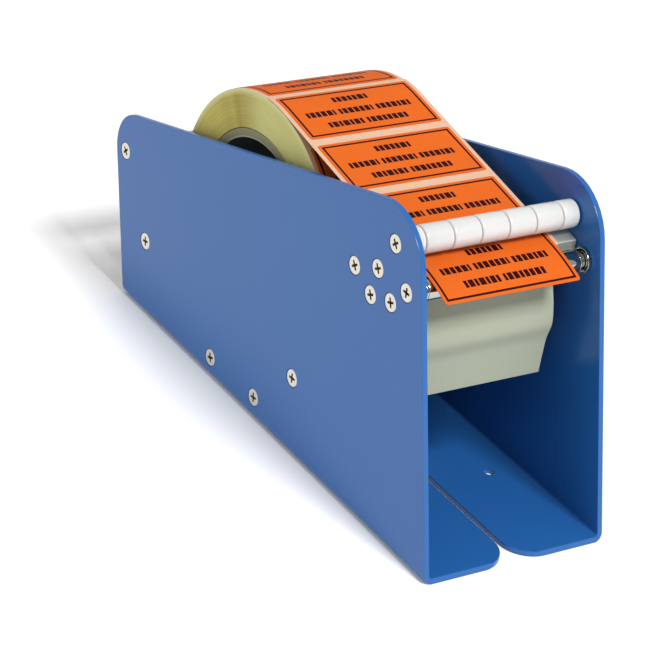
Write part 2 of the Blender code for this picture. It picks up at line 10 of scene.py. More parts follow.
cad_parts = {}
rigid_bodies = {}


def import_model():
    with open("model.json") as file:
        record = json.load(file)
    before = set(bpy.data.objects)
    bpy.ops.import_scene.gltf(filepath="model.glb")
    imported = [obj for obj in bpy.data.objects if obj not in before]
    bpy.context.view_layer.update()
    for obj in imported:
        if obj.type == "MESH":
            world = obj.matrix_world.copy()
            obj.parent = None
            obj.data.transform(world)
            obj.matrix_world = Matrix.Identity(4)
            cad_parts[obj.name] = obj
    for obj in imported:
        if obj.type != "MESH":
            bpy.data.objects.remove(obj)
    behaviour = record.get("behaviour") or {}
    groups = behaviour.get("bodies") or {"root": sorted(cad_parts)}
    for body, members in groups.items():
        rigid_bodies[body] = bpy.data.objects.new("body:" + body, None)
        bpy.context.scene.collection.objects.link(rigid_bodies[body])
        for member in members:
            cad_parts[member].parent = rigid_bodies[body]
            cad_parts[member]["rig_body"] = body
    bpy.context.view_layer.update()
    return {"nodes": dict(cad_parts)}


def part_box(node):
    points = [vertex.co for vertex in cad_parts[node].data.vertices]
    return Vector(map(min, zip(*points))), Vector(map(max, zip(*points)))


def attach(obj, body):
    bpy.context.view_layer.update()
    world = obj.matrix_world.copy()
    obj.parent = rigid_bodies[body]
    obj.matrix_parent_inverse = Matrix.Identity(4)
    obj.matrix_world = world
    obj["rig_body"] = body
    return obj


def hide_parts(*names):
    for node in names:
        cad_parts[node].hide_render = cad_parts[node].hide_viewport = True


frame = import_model()

# Camera, with the distance and angles of the photograph
camera_place = Vector((-0.61376, -0.83556, 0.60037))
camera_yaw = 0.6252
camera_pitch = 0.4992
camera_roll = 0.1426
camera_lens = 147.7
camera_sensor = 36.0
camera_near = 0.01

# Lights and floor, with powers in watts
room_brightness = 0.57
light_target = (0, 0, 0.05)
key_place = (0.25, -3.20, 3.85)
key_size = 1.2
key_power = 262.0
fill_place = (-3.0, 0.3, 0.8)
fill_size = 2.0
fill_power = 27.0
floor_reach = 12.0
floor_squares = 8

# Sizes that the pieces share with the solids
fit_gap = 0.0003
nose_radius = 0.0006
nose_behind_roller = 0.0068
nose_above_roller = 0.0057
guide_half = 0.0035
sheet_lift = 0.00045
label_width = 0.0660
label_height = 0.0315
label_gap = 0.0045
label_reach = 0.0213
label_droop = 0.0028
label_over_roller = 0.0011
labels_off_roll = 4
tail_drops = (0.0050, 0.0110, 0.0190, 0.0270, 0.0350, 0.0436)
tail_forwards = (0.0016, 0.0036, 0.0049, 0.0030, 0.0024, 0.0020)

# Paper
liner_thickness = 0.00010
label_thickness = 0.00012
label_corner = 0.0014
roll_label_lift = 0.00004
roll_layer_dip = 0.00012
roll_layer_waves = (2.4, 0.9)

# Print on each label, from its own edges and centre
border_inset = 0.0014
border_line = 0.0010
row_height = 0.0036
row_places_share = (0.765, 0.500, 0.245)
row_widths = (0.0190, 0.0540, 0.0410)
row_marks = (7, 20, 15)
mark_shift_share = 0.15
mark_gap_share = 0.22
group_gap_share = 0.70
row_trim_share = 0.30
group_marks = (9, 7, 8)

# Screws
screw_edge = 0.00012
screw_lip = 0.0003
screw_cone = 0.0019
screw_shank_radius = 0.0020
screw_turn_share = 0.381
recess_arm = 0.0023
recess_half_width = 0.00055
recess_depth = 0.0015
recess_foot_share = 0.45

# Roll core, and the paler band at the roll's outer edge
core_wall = 0.0040
rim_band = 0.0035

# The roll's cut side by direction, from 0 straight up to 1 straight back: a paler front of painted light,
# then a darker brown band
painted_light_front = (0.44, 0.05)
painted_light_front_share = 0.8
brown_band_place = 0.45
brown_band_reach = 0.07
brown_band_share = 0.45

# Rounding of turned edges
rod_edge = 0.0003
cradle_edge = 0.0005
sleeve_edge = 0.0008
bright_edge = 0.0004
clip_edge = 0.0001
collar_edge = 0.0002
core_edge = 0.0004

# Fineness of turned pieces and of curved sheets
turned_sides = 72
roll_sides = 144
rim_steps = 3
corner_steps = 5
label_steps = 14
web_columns = 24
roll_columns = 16
liner_columns = 20
wrap_steps = 12
web_steps = 40
nose_steps = 16
tail_steps = 8
roll_layers = 44
crease = math.radians(35)
full_turn = 2 * math.pi


def body_of(node):
    return frame["nodes"][node]["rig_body"]


def middle(node):
    low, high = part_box(node)
    return (low + high) / 2


def round_half(node):
    """Half the height of a turned node: its greatest radius."""
    low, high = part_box(node)
    return (high.z - low.z) / 2


def linear(red, green, blue):
    """A colour given in screen values from 0 to 255, as the shaders take it."""
    shares = (red / 255, green / 255, blue / 255)
    return (*[s / 12.92 if s <= 0.04045 else ((s + 0.055) / 1.055) ** 2.4 for s in shares], 1.0)


class Recipe:
    """One material and short calls for the nodes that vary it."""

    def __init__(self, name, colour, roughness, metallic=0.0, specular=0.5):
        self.material = bpy.data.materials.new(name)
        self.material.use_nodes = True
        self.tree = self.material.node_tree
        self.shader = self.tree.nodes["Principled BSDF"]
        self.set("Base Color", colour)
        self.set("Roughness", roughness)
        self.set("Metallic", metallic)
        self.set("Specular IOR Level", specular)

    def set(self, name, value):
        self.feed(self.shader.inputs[name], value)

    def feed(self, socket, value):
        if isinstance(value, bpy.types.NodeSocket):
            self.tree.links.new(value, socket)
        else:
            socket.default_value = value

    def node(self, kind, **settings):
        made = self.tree.nodes.new("ShaderNode" + kind)
        for key, value in settings.items():
            setattr(made, key, value)
        return made

    def math(self, operation, a, b=0.0):
        made = self.node("Math", operation=operation)
        self.feed(made.inputs[0], a)
        self.feed(made.inputs[1], b)
        return made.outputs[0]

    def place(self):
        return self.node("TexCoord").outputs["Object"]

    def attribute(self, name):
        return self.node("Attribute", attribute_name=name).outputs["Fac"]

    def stretched(self, x, y, z):
        """The place on the piece with each axis scaled."""
        made = self.node("Mapping")
        self.feed(made.inputs["Vector"], self.place())
        made.inputs["Scale"].default_value = (x, y, z)
        return made.outputs[0]

    def noise(self, scale, detail=2.0, vector=None):
        made = self.node("TexNoise")
        self.feed(made.inputs["Vector"], vector or self.place())
        made.inputs["Scale"].default_value = scale
        made.inputs["Detail"].default_value = detail
        return made.outputs["Fac"]

    def mapped(self, value, low, high, to_low=0.0, to_high=1.0, smooth=False):
        kind = "SMOOTHSTEP" if smooth else "LINEAR"
        made = self.node("MapRange", interpolation_type=kind)
        for socket, number in zip(made.inputs, (value, low, high, to_low, to_high)):
            self.feed(socket, number)
        return made.outputs[0]

    def mix(self, share, a, b):
        made = self.node("Mix", data_type="RGBA")
        self.feed(made.inputs[0], share)
        self.feed(made.inputs[6], a)
        self.feed(made.inputs[7], b)
        return made.outputs[2]

    def bump(self, height, distance, strength=1.0):
        made = self.node("Bump")
        made.inputs["Strength"].default_value = strength
        made.inputs["Distance"].default_value = distance
        self.feed(made.inputs["Height"], height)
        self.set("Normal", made.outputs[0])

    def varied(self, low, high, scale, detail=3.0):
        """Roughness that wanders between two values."""
        self.set("Roughness", self.mapped(self.noise(scale, detail), 0.3, 0.7, low, high))


def blue_coat():
    """Baked powder coat: even and glossy, with a very faint orange peel."""
    deep, light = (0.014, 0.093, 0.302, 1), (0.015, 0.099, 0.316, 1)
    paint = Recipe("blue_powder_coat", deep, 0.22, specular=0.38)
    paint.set("Base Color", paint.mix(paint.noise(14.0), deep, light))
    paint.varied(0.21, 0.24, 24.0, 1.0)
    paint.bump(paint.noise(1600.0, 1.0), 0.00001, 0.12)
    return paint.material


def zinc():
    """Plated screw steel, a little yellow and finely mottled."""
    metal = Recipe("zinc_plated_steel", linear(214, 209, 196), 0.30, 1.0)
    metal.set("Base Color", metal.mix(metal.noise(900.0), linear(206, 200, 186), linear(222, 218, 207)))
    metal.varied(0.26, 0.36, 1500.0)
    metal.bump(metal.noise(3200.0, 2.0), 0.00002, 0.25)
    return metal.material


def recess_shade():
    """The inside of a screw's cross: dull, and painted darker and browner as shade."""
    metal = Recipe("screw_recess", linear(92, 74, 48), 0.55, 0.7)
    metal.set("Base Color", metal.mix(metal.noise(2400.0), linear(66, 52, 34), linear(128, 104, 66)))
    metal.varied(0.45, 0.65, 2600.0)
    metal.bump(metal.noise(5200.0), 0.00003, 0.6)
    return metal.material


def chrome():
    metal = Recipe("chrome", linear(178, 180, 172), 0.07, 1.0)
    metal.set("Base Color", metal.mix(metal.noise(240.0), linear(174, 176, 168), linear(182, 184, 177)))
    metal.varied(0.05, 0.11, 420.0)
    metal.bump(metal.noise(90.0, 1.0, metal.stretched(0.25, 1, 1)), 0.00002, 0.25)
    return metal.material


def steel():
    """Bright drawn steel bar, with lines along its length."""
    metal = Recipe("brushed_steel", linear(200, 203, 192), 0.36, 0.7)
    lines = metal.noise(2200.0, 3.0, metal.stretched(0.02, 1, 1))
    metal.set("Base Color", metal.mix(lines, linear(198, 201, 190), linear(214, 217, 206)))
    metal.set("Roughness", metal.mapped(lines, 0.3, 0.7, 0.28, 0.40))
    metal.bump(lines, 0.00002, 0.5)
    return metal.material


def white_plastic():
    """Smooth white plastic with a soft gloss, which lets a little light in."""
    plastic = Recipe("white_plastic", linear(198, 199, 198), 0.16, specular=0.7)
    tone = plastic.mix(plastic.noise(60.0), linear(195, 197, 196), linear(201, 201, 200))
    plastic.set("Base Color", tone)
    plastic.set("Subsurface Weight", 1.0)
    plastic.set("Subsurface Radius", (1.0, 0.40, 0.35))
    plastic.set("Subsurface Scale", 0.0025)
    plastic.varied(0.15, 0.18, 60.0, 1.0)
    plastic.bump(plastic.noise(1800.0, 1.0), 0.00001, 0.10)
    return plastic.material


def roll_radius_and_turn(paper):
    """The distance from the roll's own axis, and a vector that turns with the place round it."""
    parts = paper.node("SeparateXYZ")
    paper.feed(parts.inputs[0], paper.place())
    _, back, up = parts.outputs
    squares = paper.math("ADD", paper.math("POWER", back, 2.0), paper.math("POWER", up, 2.0))
    radius = paper.math("SQRT", squares)
    flat = paper.node("CombineXYZ")
    paper.feed(flat.inputs[1], back)
    paper.feed(flat.inputs[2], up)
    facing = paper.node("VectorMath", operation="NORMALIZE")
    paper.feed(facing.inputs[0], flat.outputs[0])
    return radius, facing.outputs[0]


def roll_side():
    """The cut edges of the wound paper: fine rings, soft streaks, a paler front that is painted light, a
    darker brown band and a paler rim.
    """
    dark, pale, rim = linear(148, 135, 64), linear(183, 170, 90), linear(188, 185, 130)
    paper = Recipe("roll_paper", pale, 0.75, specular=0.3)
    radius, facing = roll_radius_and_turn(paper)
    back = paper.node("SeparateXYZ")
    paper.feed(back.inputs[0], facing)
    ring_place = paper.node("CombineXYZ")
    paper.feed(ring_place.inputs[0], radius)
    rings = paper.noise(1500.0, 3.0, ring_place.outputs[0])
    bands = paper.noise(260.0, 2.0, ring_place.outputs[0])
    streaks = paper.noise(1.6, 2.0, facing)
    tone = paper.math("ADD", paper.math("MULTIPLY", rings, 0.35), paper.math("MULTIPLY", bands, 0.25))
    tone = paper.math("ADD", tone, paper.math("MULTIPLY", streaks, 0.55))
    shade = paper.mix(paper.mapped(tone, 0.42, 0.72, smooth=True), dark, pale)
    # Painted light: the side is paler where it faces forward.
    front = paper.mapped(back.outputs[1], *painted_light_front, smooth=True)
    shade = paper.mix(paper.math("MULTIPLY", front, painted_light_front_share), shade, linear(184, 182, 118))
    # A darker brown band at one direction round the roll's side.
    brown_band_offset = paper.math("ABSOLUTE", paper.math("SUBTRACT", back.outputs[1], brown_band_place))
    brown_band_depth = paper.mapped(brown_band_offset, brown_band_reach, 0.0, 0.0, brown_band_share, smooth=True)
    shade = paper.mix(brown_band_depth, shade, linear(140, 118, 58))
    outer = round_half("label_roll")
    near_rim = paper.mapped(radius, outer - rim_band, outer, smooth=True)
    paper.set("Base Color", paper.mix(near_rim, shade, rim))
    paper.set("Roughness", paper.mapped(rings, 0.3, 0.7, 0.68, 0.82))
    paper.bump(rings, 0.00006, 0.6)
    return paper.material


def card():
    """Grey wound card with fine fibres, and a paler ring at the bore."""
    paper = Recipe("core_card", linear(122, 119, 92), 0.85, specular=0.25)
    radius, _ = roll_radius_and_turn(paper)
    fibre = paper.noise(1300.0, 3.0)
    bore = round_half("roll_core") - core_wall
    inner = paper.mapped(radius, bore + 3 * fit_gap, bore + fit_gap, smooth=True)
    ring = paper.mix(fibre, linear(106, 103, 76), linear(138, 135, 106))
    paper.set("Base Color", paper.mix(inner, ring, linear(164, 165, 148)))
    paper.set("Roughness", paper.mapped(fibre, 0.3, 0.7, 0.8, 0.92))
    paper.bump(fibre, 0.00008, 0.6)
    return paper.material


def liner_face():
    """Cream backing paper with a slight sheen and a fine grain."""
    paper = Recipe("liner_paper", linear(199, 163, 137), 0.50, specular=0.2)
    grain = paper.noise(700.0, 4.0)
    paper.set("Base Color", paper.mix(grain, linear(194, 157, 130), linear(204, 169, 144)))
    paper.varied(0.36, 0.50, 120.0)
    paper.bump(paper.noise(160.0, 3.0), 0.00006, 0.35)
    return paper.material


def shaded_spent_liner():
    """The same paper once its labels are off, painted grey green and darker as shade, with faint bands of
    painted shade where it curls.
    """
    paper = Recipe("shaded_spent_liner_paper", linear(149, 154, 137), 0.45, specular=0.3)
    # Painted shade: faint darker and lighter bands across the strip.
    bands = paper.noise(55.0, 2.0, paper.stretched(0.04, 1, 1))
    tone = paper.mix(bands, linear(139, 144, 126), linear(157, 162, 145))
    paper.set("Base Color", tone)
    paper.varied(0.38, 0.52, 150.0)
    paper.bump(paper.noise(120.0, 3.0), 0.00010, 0.35)
    return paper.material


def chance(paper, number, seed):
    """A value from 0 to 1 that each whole number has for itself."""
    made = paper.node("TexWhiteNoise", noise_dimensions="1D")
    paper.feed(made.inputs["W"], paper.math("ADD", number, seed))
    return made.outputs["Value"]


def mark_row(paper, across, along, place, width, marks, group):
    """One centred row of plain solid blocks, with gaps moved a little by chance and wider between groups."""
    count = paper.math("MULTIPLY", paper.math("ADD", across, width / 2), marks / width)
    number = paper.math("ROUND", count)
    shift = paper.mapped(chance(paper, number, marks), 0.0, 1.0, -mark_shift_share, mark_shift_share)
    from_gap = paper.math("ABSOLUTE", paper.math("SUBTRACT", paper.math("SUBTRACT", count, number), shift))
    wide = paper.math("COMPARE", paper.math("MODULO", number, group), group - 1)
    half_gap = paper.mapped(wide, 0.0, 1.0, mark_gap_share / 2, group_gap_share / 2)
    inside = paper.math("GREATER_THAN", from_gap, half_gap)
    half_width = width / 2 - row_trim_share * width / marks
    in_width = paper.math("LESS_THAN", paper.math("ABSOLUTE", across), half_width)
    from_middle = paper.math("ABSOLUTE", paper.math("SUBTRACT", along, place))
    in_height = paper.math("LESS_THAN", from_middle, row_height / 2)
    return paper.math("MULTIPLY", paper.math("MULTIPLY", inside, in_width), in_height)


def border(paper, across, along):
    """The thin frame inside the label's edge."""
    from_side = paper.math("SUBTRACT", label_width / 2, paper.math("ABSOLUTE", across))
    from_end = paper.math("MINIMUM", along, paper.math("SUBTRACT", label_height, along))
    inside = paper.math("MINIMUM", from_side, from_end)
    past = paper.math("GREATER_THAN", inside, border_inset)
    before = paper.math("LESS_THAN", inside, border_inset + border_line)
    return paper.math("MULTIPLY", past, before)


def printed_label():
    """Bright orange paper with a dark border and three centred rows of plain blocks."""
    orange, deep = (0.60, 0.112, 0.013, 1), (0.56, 0.099, 0.009, 1)
    paper = Recipe("orange_label", orange, 0.55, specular=0.06)
    across = paper.attribute("across")
    along = paper.attribute("along")
    ink = border(paper, across, along)
    for share, width, marks, group in zip(row_places_share, row_widths, row_marks, group_marks):
        row = mark_row(paper, across, along, share * label_height, width, marks, group)
        ink = paper.math("MAXIMUM", ink, row)
    ground = paper.mix(paper.noise(90.0, 3.0), deep, orange)
    paper.set("Base Color", paper.mix(ink, ground, linear(42, 7, 11)))
    paper.set("Roughness", paper.mapped(ink, 0.0, 1.0, 0.55, 0.45))
    paper.bump(paper.noise(900.0, 3.0), 0.00003, 0.35)
    return paper.material


materials = {
    "coat": blue_coat(),
    "zinc": zinc(),
    "recess": recess_shade(),
    "chrome": chrome(),
    "steel": steel(),
    "white": white_plastic(),
    "roll": roll_side(),
    "card": card(),
    "liner": liner_face(),
    "spent": shaded_spent_liner(),
    "label": printed_label(),
}


def new_piece(name, mesh, finish, replaced=()):
    """A mesh as a piece of the object, in its place, with its finish and what it stands for."""
    piece = bpy.data.objects.new(name, mesh)
    bpy.context.scene.collection.objects.link(piece)
    if not mesh.materials:
        mesh.materials.append(materials[finish])
    if replaced:
        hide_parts(*replaced)
    return piece


def settle(piece, spot, body):
    """A turned piece in its place, on the body that it moves with."""
    piece.location = spot
    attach(piece, body)


def smoothed(mesh):
    mesh.shade_smooth()
    mesh.set_sharp_from_angle(angle=crease)
    return mesh


def rounded(points, radius):
    """A closed outline with every corner turned into a short arc."""
    made = []
    for index, corner in enumerate(points):
        here = Vector(corner)
        before = (Vector(points[index - 1]) - here).normalized()
        after = (Vector(points[(index + 1) % len(points)]) - here).normalized()
        half = before.angle(after) / 2
        centre = here + (before + after).normalized() * (radius / math.sin(half))
        start = here + before * (radius / math.tan(half)) - centre
        end = here + after * (radius / math.tan(half)) - centre
        sweep = start.angle(end)
        for step in range(rim_steps + 1):
            share = step / rim_steps
            spoke = start * math.sin((1 - share) * sweep) + end * math.sin(share * sweep)
            made.append(tuple(centre + spoke / math.sin(sweep)))
    return made


def lathe(name, outline, sides=turned_sides, closed=True):
    """An outline of distance along X and radius, turned round X. An open one ends on the axis."""
    bm = bmesh.new()
    rings = []
    for x, radius in outline:
        if radius == 0:
            rings.append([bm.verts.new((x, 0, 0))])
            continue
        angles = [full_turn * i / sides for i in range(sides)]
        rings.append([bm.verts.new((x, radius * math.cos(a), radius * math.sin(a))) for a in angles])
    pairs = list(zip(rings, rings[1:]))
    if closed:
        pairs.append((rings[-1], rings[0]))
    for near, far in pairs:
        for i in range(sides):
            corners = [near[i % len(near)], near[(i + 1) % len(near)]]
            corners += [far[(i + 1) % len(far)], far[i % len(far)]]
            bm.faces.new(list(dict.fromkeys(corners)))
    bmesh.ops.recalc_face_normals(bm, faces=bm.faces)
    mesh = bpy.data.meshes.new(name)
    bm.to_mesh(mesh)
    bm.free()
    return smoothed(mesh)


def turned_tube(name, node, finish, bore, rim):
    """A sleeve or ring in a node's place, with its own bore and rounded rims."""
    low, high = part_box(node)
    spot = middle(node)
    half = (high.x - low.x) / 2
    outer = round_half(node)
    outline = [(-half, bore), (-half, outer), (half, outer), (half, bore)]
    mesh = lathe(name, rounded(outline, rim))
    piece = new_piece(name, mesh, finish, (node,))
    settle(piece, spot, body_of(node))


def turned_rod(name, node, finish, rim):
    """A solid rod in a node's place, with rounded ends."""
    low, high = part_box(node)
    spot = middle(node)
    half = (high.x - low.x) / 2
    radius = round_half(node)
    outline = [(-half, 0), (-half, radius - rim), (-half + rim, radius)]
    outline += [(half - rim, radius), (half, radius - rim), (half, 0)]
    mesh = lathe(name, outline, closed=False)
    piece = new_piece(name, mesh, finish, (node,))
    settle(piece, spot, body_of(node))


def dress_kept_nodes():
    """The plates and flat bars keep their solids, welded, with smooth rounds and a finish each."""
    kept = {
        "left_side_plate": "coat",
        "right_side_plate": "coat",
        "peel_bar": "steel",
        "liner_guide_bar": "steel",
    }
    for node, finish in kept.items():
        obj = frame["nodes"][node]
        obj.data.materials.clear()
        obj.data.materials.append(materials[finish])
        for name in ("custom_normal", "sharp_edge"):
            if name in obj.data.attributes:
                obj.data.attributes.remove(obj.data.attributes[name])
        obj.data.shade_smooth()
        weld = obj.modifiers.new("weld", "WELD")
        weld.merge_threshold = fit_gap / 100
        if finish == "steel":
            ease = obj.modifiers.new("ease", "BEVEL")
            ease.width = fit_gap
            ease.segments = 2
            ease.limit_method = "ANGLE"
            ease.angle_limit = crease
        split = obj.modifiers.new("split", "EDGE_SPLIT")
        split.split_angle = crease
        weighted = obj.modifiers.new("weighted", "WEIGHTED_NORMAL")
        weighted.keep_sharp = True


def rollers():
    """Rods, sleeves, the bright roller and its rings."""
    for place in ("front", "low", "seat", "rear"):
        turned_rod(f"axle_{place}", f"cradle_axle_{place}", "zinc", rod_edge)
        bore = round_half(f"cradle_axle_{place}") + fit_gap
        turned_tube(f"roller_{place}", f"cradle_roller_{place}", "white", bore, cradle_edge)
    turned_rod("spacer_bar", "rear_spacer_bar", "zinc", rod_edge)
    turned_rod("sleeve_axle", "pressure_roller_axle", "zinc", rod_edge)
    bore = round_half("pressure_roller_axle") + fit_gap
    for number in range(1, 8):
        turned_tube(f"white_sleeve_{number}", f"pressure_sleeve_{number}", "white", bore, sleeve_edge)
    turned_rod("bright_axle", "chrome_roller_axle", "chrome", rod_edge)
    bore = round_half("chrome_roller_axle") + fit_gap
    turned_tube("bright_roller", "chrome_roller", "chrome", bore, bright_edge)
    for side in ("left", "right"):
        turned_tube(f"clip_{side}", f"roller_clip_{side}", "chrome", bore, clip_edge)
        turned_tube(f"collar_{side}", f"roller_collar_{side}", "chrome", bore, collar_edge)


def screw_outline(head, length):
    """A countersunk screw from the middle of its face to its tip, as distance in and radius."""
    return [
        (0, 0),
        (0, head - screw_edge),
        (-screw_edge, head),
        (-screw_lip, head),
        (-screw_lip - screw_cone, screw_shank_radius),
        (-length + screw_shank_radius / 2, screw_shank_radius),
        (-length, screw_shank_radius / 2),
        (-length, 0),
    ]


def cross_blade(name, turned):
    """One tapered bar of the cross recess, with rounded ends, as a closed mesh."""
    bm = bmesh.new()
    loops = []
    straight = recess_arm - recess_half_width
    for depth, share in ((-recess_depth, recess_foot_share), (recess_depth, 2 - recess_foot_share)):
        loop = []
        for end in (1, -1):
            for step in range(rim_steps * 2 + 1):
                angle = math.pi * (step / (rim_steps * 2) - 0.5)
                along = end * (straight * share + recess_half_width * math.cos(angle))
                loop.append((along, end * recess_half_width * math.sin(angle)))
        corners = [(depth, a, b) if not turned else (depth, -b, a) for a, b in loop]
        loops.append([bm.verts.new(c) for c in corners])
    low, high = loops
    bm.faces.new(low)
    bm.faces.new(high)
    for i in range(len(low)):
        following = (i + 1) % len(low)
        bm.faces.new((low[i], low[following], high[following], high[i]))
    bmesh.ops.recalc_face_normals(bm, faces=bm.faces)
    mesh = bpy.data.meshes.new(name)
    bm.to_mesh(mesh)
    bm.free()
    mesh.materials.append(materials["recess"])
    blade = bpy.data.objects.new(name, mesh)
    bpy.context.scene.collection.objects.link(blade)
    return blade


def screw_mesh():
    """One countersunk screw along X with its cross recess cut in."""
    low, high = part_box("screw_spacer_right")
    outline = screw_outline(round_half("screw_spacer_right"), high.x - low.x)
    mesh = lathe("cross_screw", outline, closed=False)
    mesh.materials.append(materials["zinc"])
    mesh.materials.append(materials["recess"])
    body = bpy.data.objects.new("cross_screw_blank", mesh)
    bpy.context.scene.collection.objects.link(body)
    blades = [cross_blade("blade_flat", False), cross_blade("blade_upright", True)]
    for blade in blades:
        cut = body.modifiers.new(blade.name, "BOOLEAN")
        cut.operation = "DIFFERENCE"
        cut.solver = "EXACT"
        cut.material_mode = "TRANSFER"
        cut.object = blade
    bpy.context.view_layer.update()
    made = bpy.data.meshes.new_from_object(body.evaluated_get(bpy.context.evaluated_depsgraph_get()))
    for spent in [body, *blades]:
        bpy.data.objects.remove(spent)
    made.name = "cross_screw"
    return smoothed(made)


def screws():
    """Every screw from one mesh, each turned by its own amount."""
    mesh = screw_mesh()
    names = sorted(n for n in frame["nodes"] if n.startswith("screw_"))
    for index, node in enumerate(names):
        low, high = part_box(node)
        side = 1 if node.endswith("_right") else -1
        spot = middle(node)
        spot.x = high.x if side > 0 else low.x
        piece = new_piece("cross_" + node, mesh, "zinc", (node,))
        spin = Matrix.Rotation(full_turn * index * screw_turn_share, 4, "X")
        facing = Matrix.Identity(4) if side > 0 else Matrix.Rotation(math.pi, 4, "Z")
        piece.matrix_world = Matrix.Translation(spot) @ facing @ spin
        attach(piece, body_of(node))


def side_place(node):
    spot = middle(node)
    return Vector((spot.y, spot.z))


def line_over(front, front_radius, rear, rear_radius):
    """The direction of the straight line that lies on top of two circles, from the front one backwards."""
    rise = rear - front
    slope = math.atan2(rise.y, rise.x) + math.asin((rear_radius - front_radius) / rise.length)
    return Vector((math.cos(slope), math.sin(slope)))


def upward(direction):
    return Vector((-direction.y, direction.x))


nose = side_place("chrome_roller") + Vector((nose_behind_roller, nose_above_roller))
roll_centre = side_place("label_roll")
roll_radius = round_half("label_roll")
sheet_middle = middle("label_liner").x
liner_low, liner_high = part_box("label_liner")
liner_width = liner_high.x - liner_low.x
wrap = roll_radius + sheet_lift
nose_wrap = nose_radius + sheet_lift
web_back = line_over(nose, nose_wrap, roll_centre, wrap)
web_up = upward(web_back)
web_run = math.sqrt((roll_centre - nose).length ** 2 - (wrap - nose_wrap) ** 2)
label_pitch = label_height + label_gap
bright_radius = round_half("chrome_roller") + label_over_roller
label_back = line_over(side_place("chrome_roller"), bright_radius, nose, nose_wrap + sheet_lift)
label_up = upward(label_back)


def web_place(distance):
    """Point and outward direction of the web's middle, from the nose backwards and on round the roll."""
    if distance <= web_run:
        return nose + web_up * nose_wrap + web_back * distance, web_up
    turn = (distance - web_run) / wrap
    facing = Matrix.Rotation(-turn, 2) @ web_up
    return roll_centre + facing * wrap, facing


def dispensed_place(distance):
    """Point and upward direction on the label in front of the nose, drooping to its tip."""
    share = distance / label_reach
    ahead = nose + label_up * nose_wrap - label_back * distance
    slope = 2 * label_droop * share / label_reach
    direction = (label_back + Vector((0, slope))).normalized()
    return ahead - Vector((0, label_droop * share**2)), upward(direction)


def sheet_mesh(name, rows, half_widths, columns, low, high):
    """A thin closed sheet along a path of (point, up, distance), with its place on it as attributes."""
    bm = bmesh.new()
    across_layer = bm.verts.layers.float.new("across")
    along_layer = bm.verts.layers.float.new("along")
    grids = []
    for lift in (low, high):
        grid = []
        for (point, up, distance), half in zip(rows, half_widths):
            spot = point + up * lift
            line = []
            for column in range(columns + 1):
                across = half * (2 * column / columns - 1)
                vertex = bm.verts.new((sheet_middle + across, spot.x, spot.y))
                vertex[across_layer] = across
                vertex[along_layer] = distance
                line.append(vertex)
            grid.append(line)
        grids.append(grid)
    under, over = grids
    for grid in grids:
        for line, following in zip(grid, grid[1:]):
            for i in range(columns):
                bm.faces.new((line[i], line[i + 1], following[i + 1], following[i]))
    rims = [(under[0], over[0]), (under[-1], over[-1])]
    for column in (0, -1):
        rims.append(([line[column] for line in under], [line[column] for line in over]))
    for a, b in rims:
        for i in range(len(a) - 1):
            bm.faces.new((a[i], a[i + 1], b[i + 1], b[i]))
    bmesh.ops.recalc_face_normals(bm, faces=bm.faces)
    mesh = bpy.data.meshes.new(name)
    bm.to_mesh(mesh)
    bm.free()
    return smoothed(mesh)


def label_rows():
    """Distances along a label, close together at its rounded corners, and its half width at each."""
    turns = [full_turn / 4 * i / corner_steps for i in range(corner_steps + 1)]
    corner = [label_corner * (1 - math.cos(turn)) for turn in turns]
    plain = label_height - 2 * label_corner
    distances = corner + [label_corner + plain * i / label_steps for i in range(1, label_steps)]
    distances += [label_height - d for d in reversed(corner)]
    halves = []
    for distance in distances:
        inside = label_corner - min(distance, label_height - distance, label_corner)
        halves.append(label_width / 2 - label_corner + math.sqrt(label_corner**2 - inside**2))
    return distances, halves


def place_at(distance):
    return web_place(distance) if distance >= 0 else dispensed_place(-distance)


def web_labels():
    """The dispensed label and the ones still on the web."""
    distances, halves = label_rows()
    low = liner_thickness / 2 + roll_label_lift
    high = low + label_thickness
    for number in range(labels_off_roll):
        start = number * label_pitch - label_reach
        rows = [(*place_at(start + d), d) for d in distances]
        node = f"web_label_{number}" if number else "dispensed_label"
        name = f"printed_label_{number}"
        mesh = sheet_mesh(name, rows, halves, web_columns, low, high)
        piece = new_piece(name, mesh, "label", (node,))
        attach(piece, "frame")


def roll_labels():
    """The labels round the roll's outermost turn, which turn with it."""
    distances, halves = label_rows()
    low = roll_radius + roll_label_lift - wrap
    high = low + label_thickness
    turn_length = full_turn * wrap
    number = labels_off_roll
    while (number * label_pitch - label_reach - web_run) + label_height < turn_length:
        start = number * label_pitch - label_reach
        rows = [(*web_place(start + d), d) for d in distances]
        name = f"roll_printed_label_{number}"
        mesh = sheet_mesh(name, rows, halves, roll_columns, low, high)
        piece = new_piece(name, mesh, "label")
        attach(piece, "label_roll")
        number += 1


def smooth_through(bends):
    """Points on one smooth curve through the bends."""
    ends = [bends[0], *bends, bends[-1] * 2 - bends[-2]]
    made = [bends[0]]
    for before, here, there, after in zip(ends, ends[1:], ends[2:], ends[3:]):
        slope = (there - before) / 2
        next_slope = (after - here) / 2
        for step in range(1, tail_steps + 1):
            s = step / tail_steps
            bend = 3 * (there - here) - 2 * slope - next_slope
            twist = 2 * (here - there) + slope + next_slope
            made.append(here + slope * s + bend * s**2 + twist * s**3)
    return made


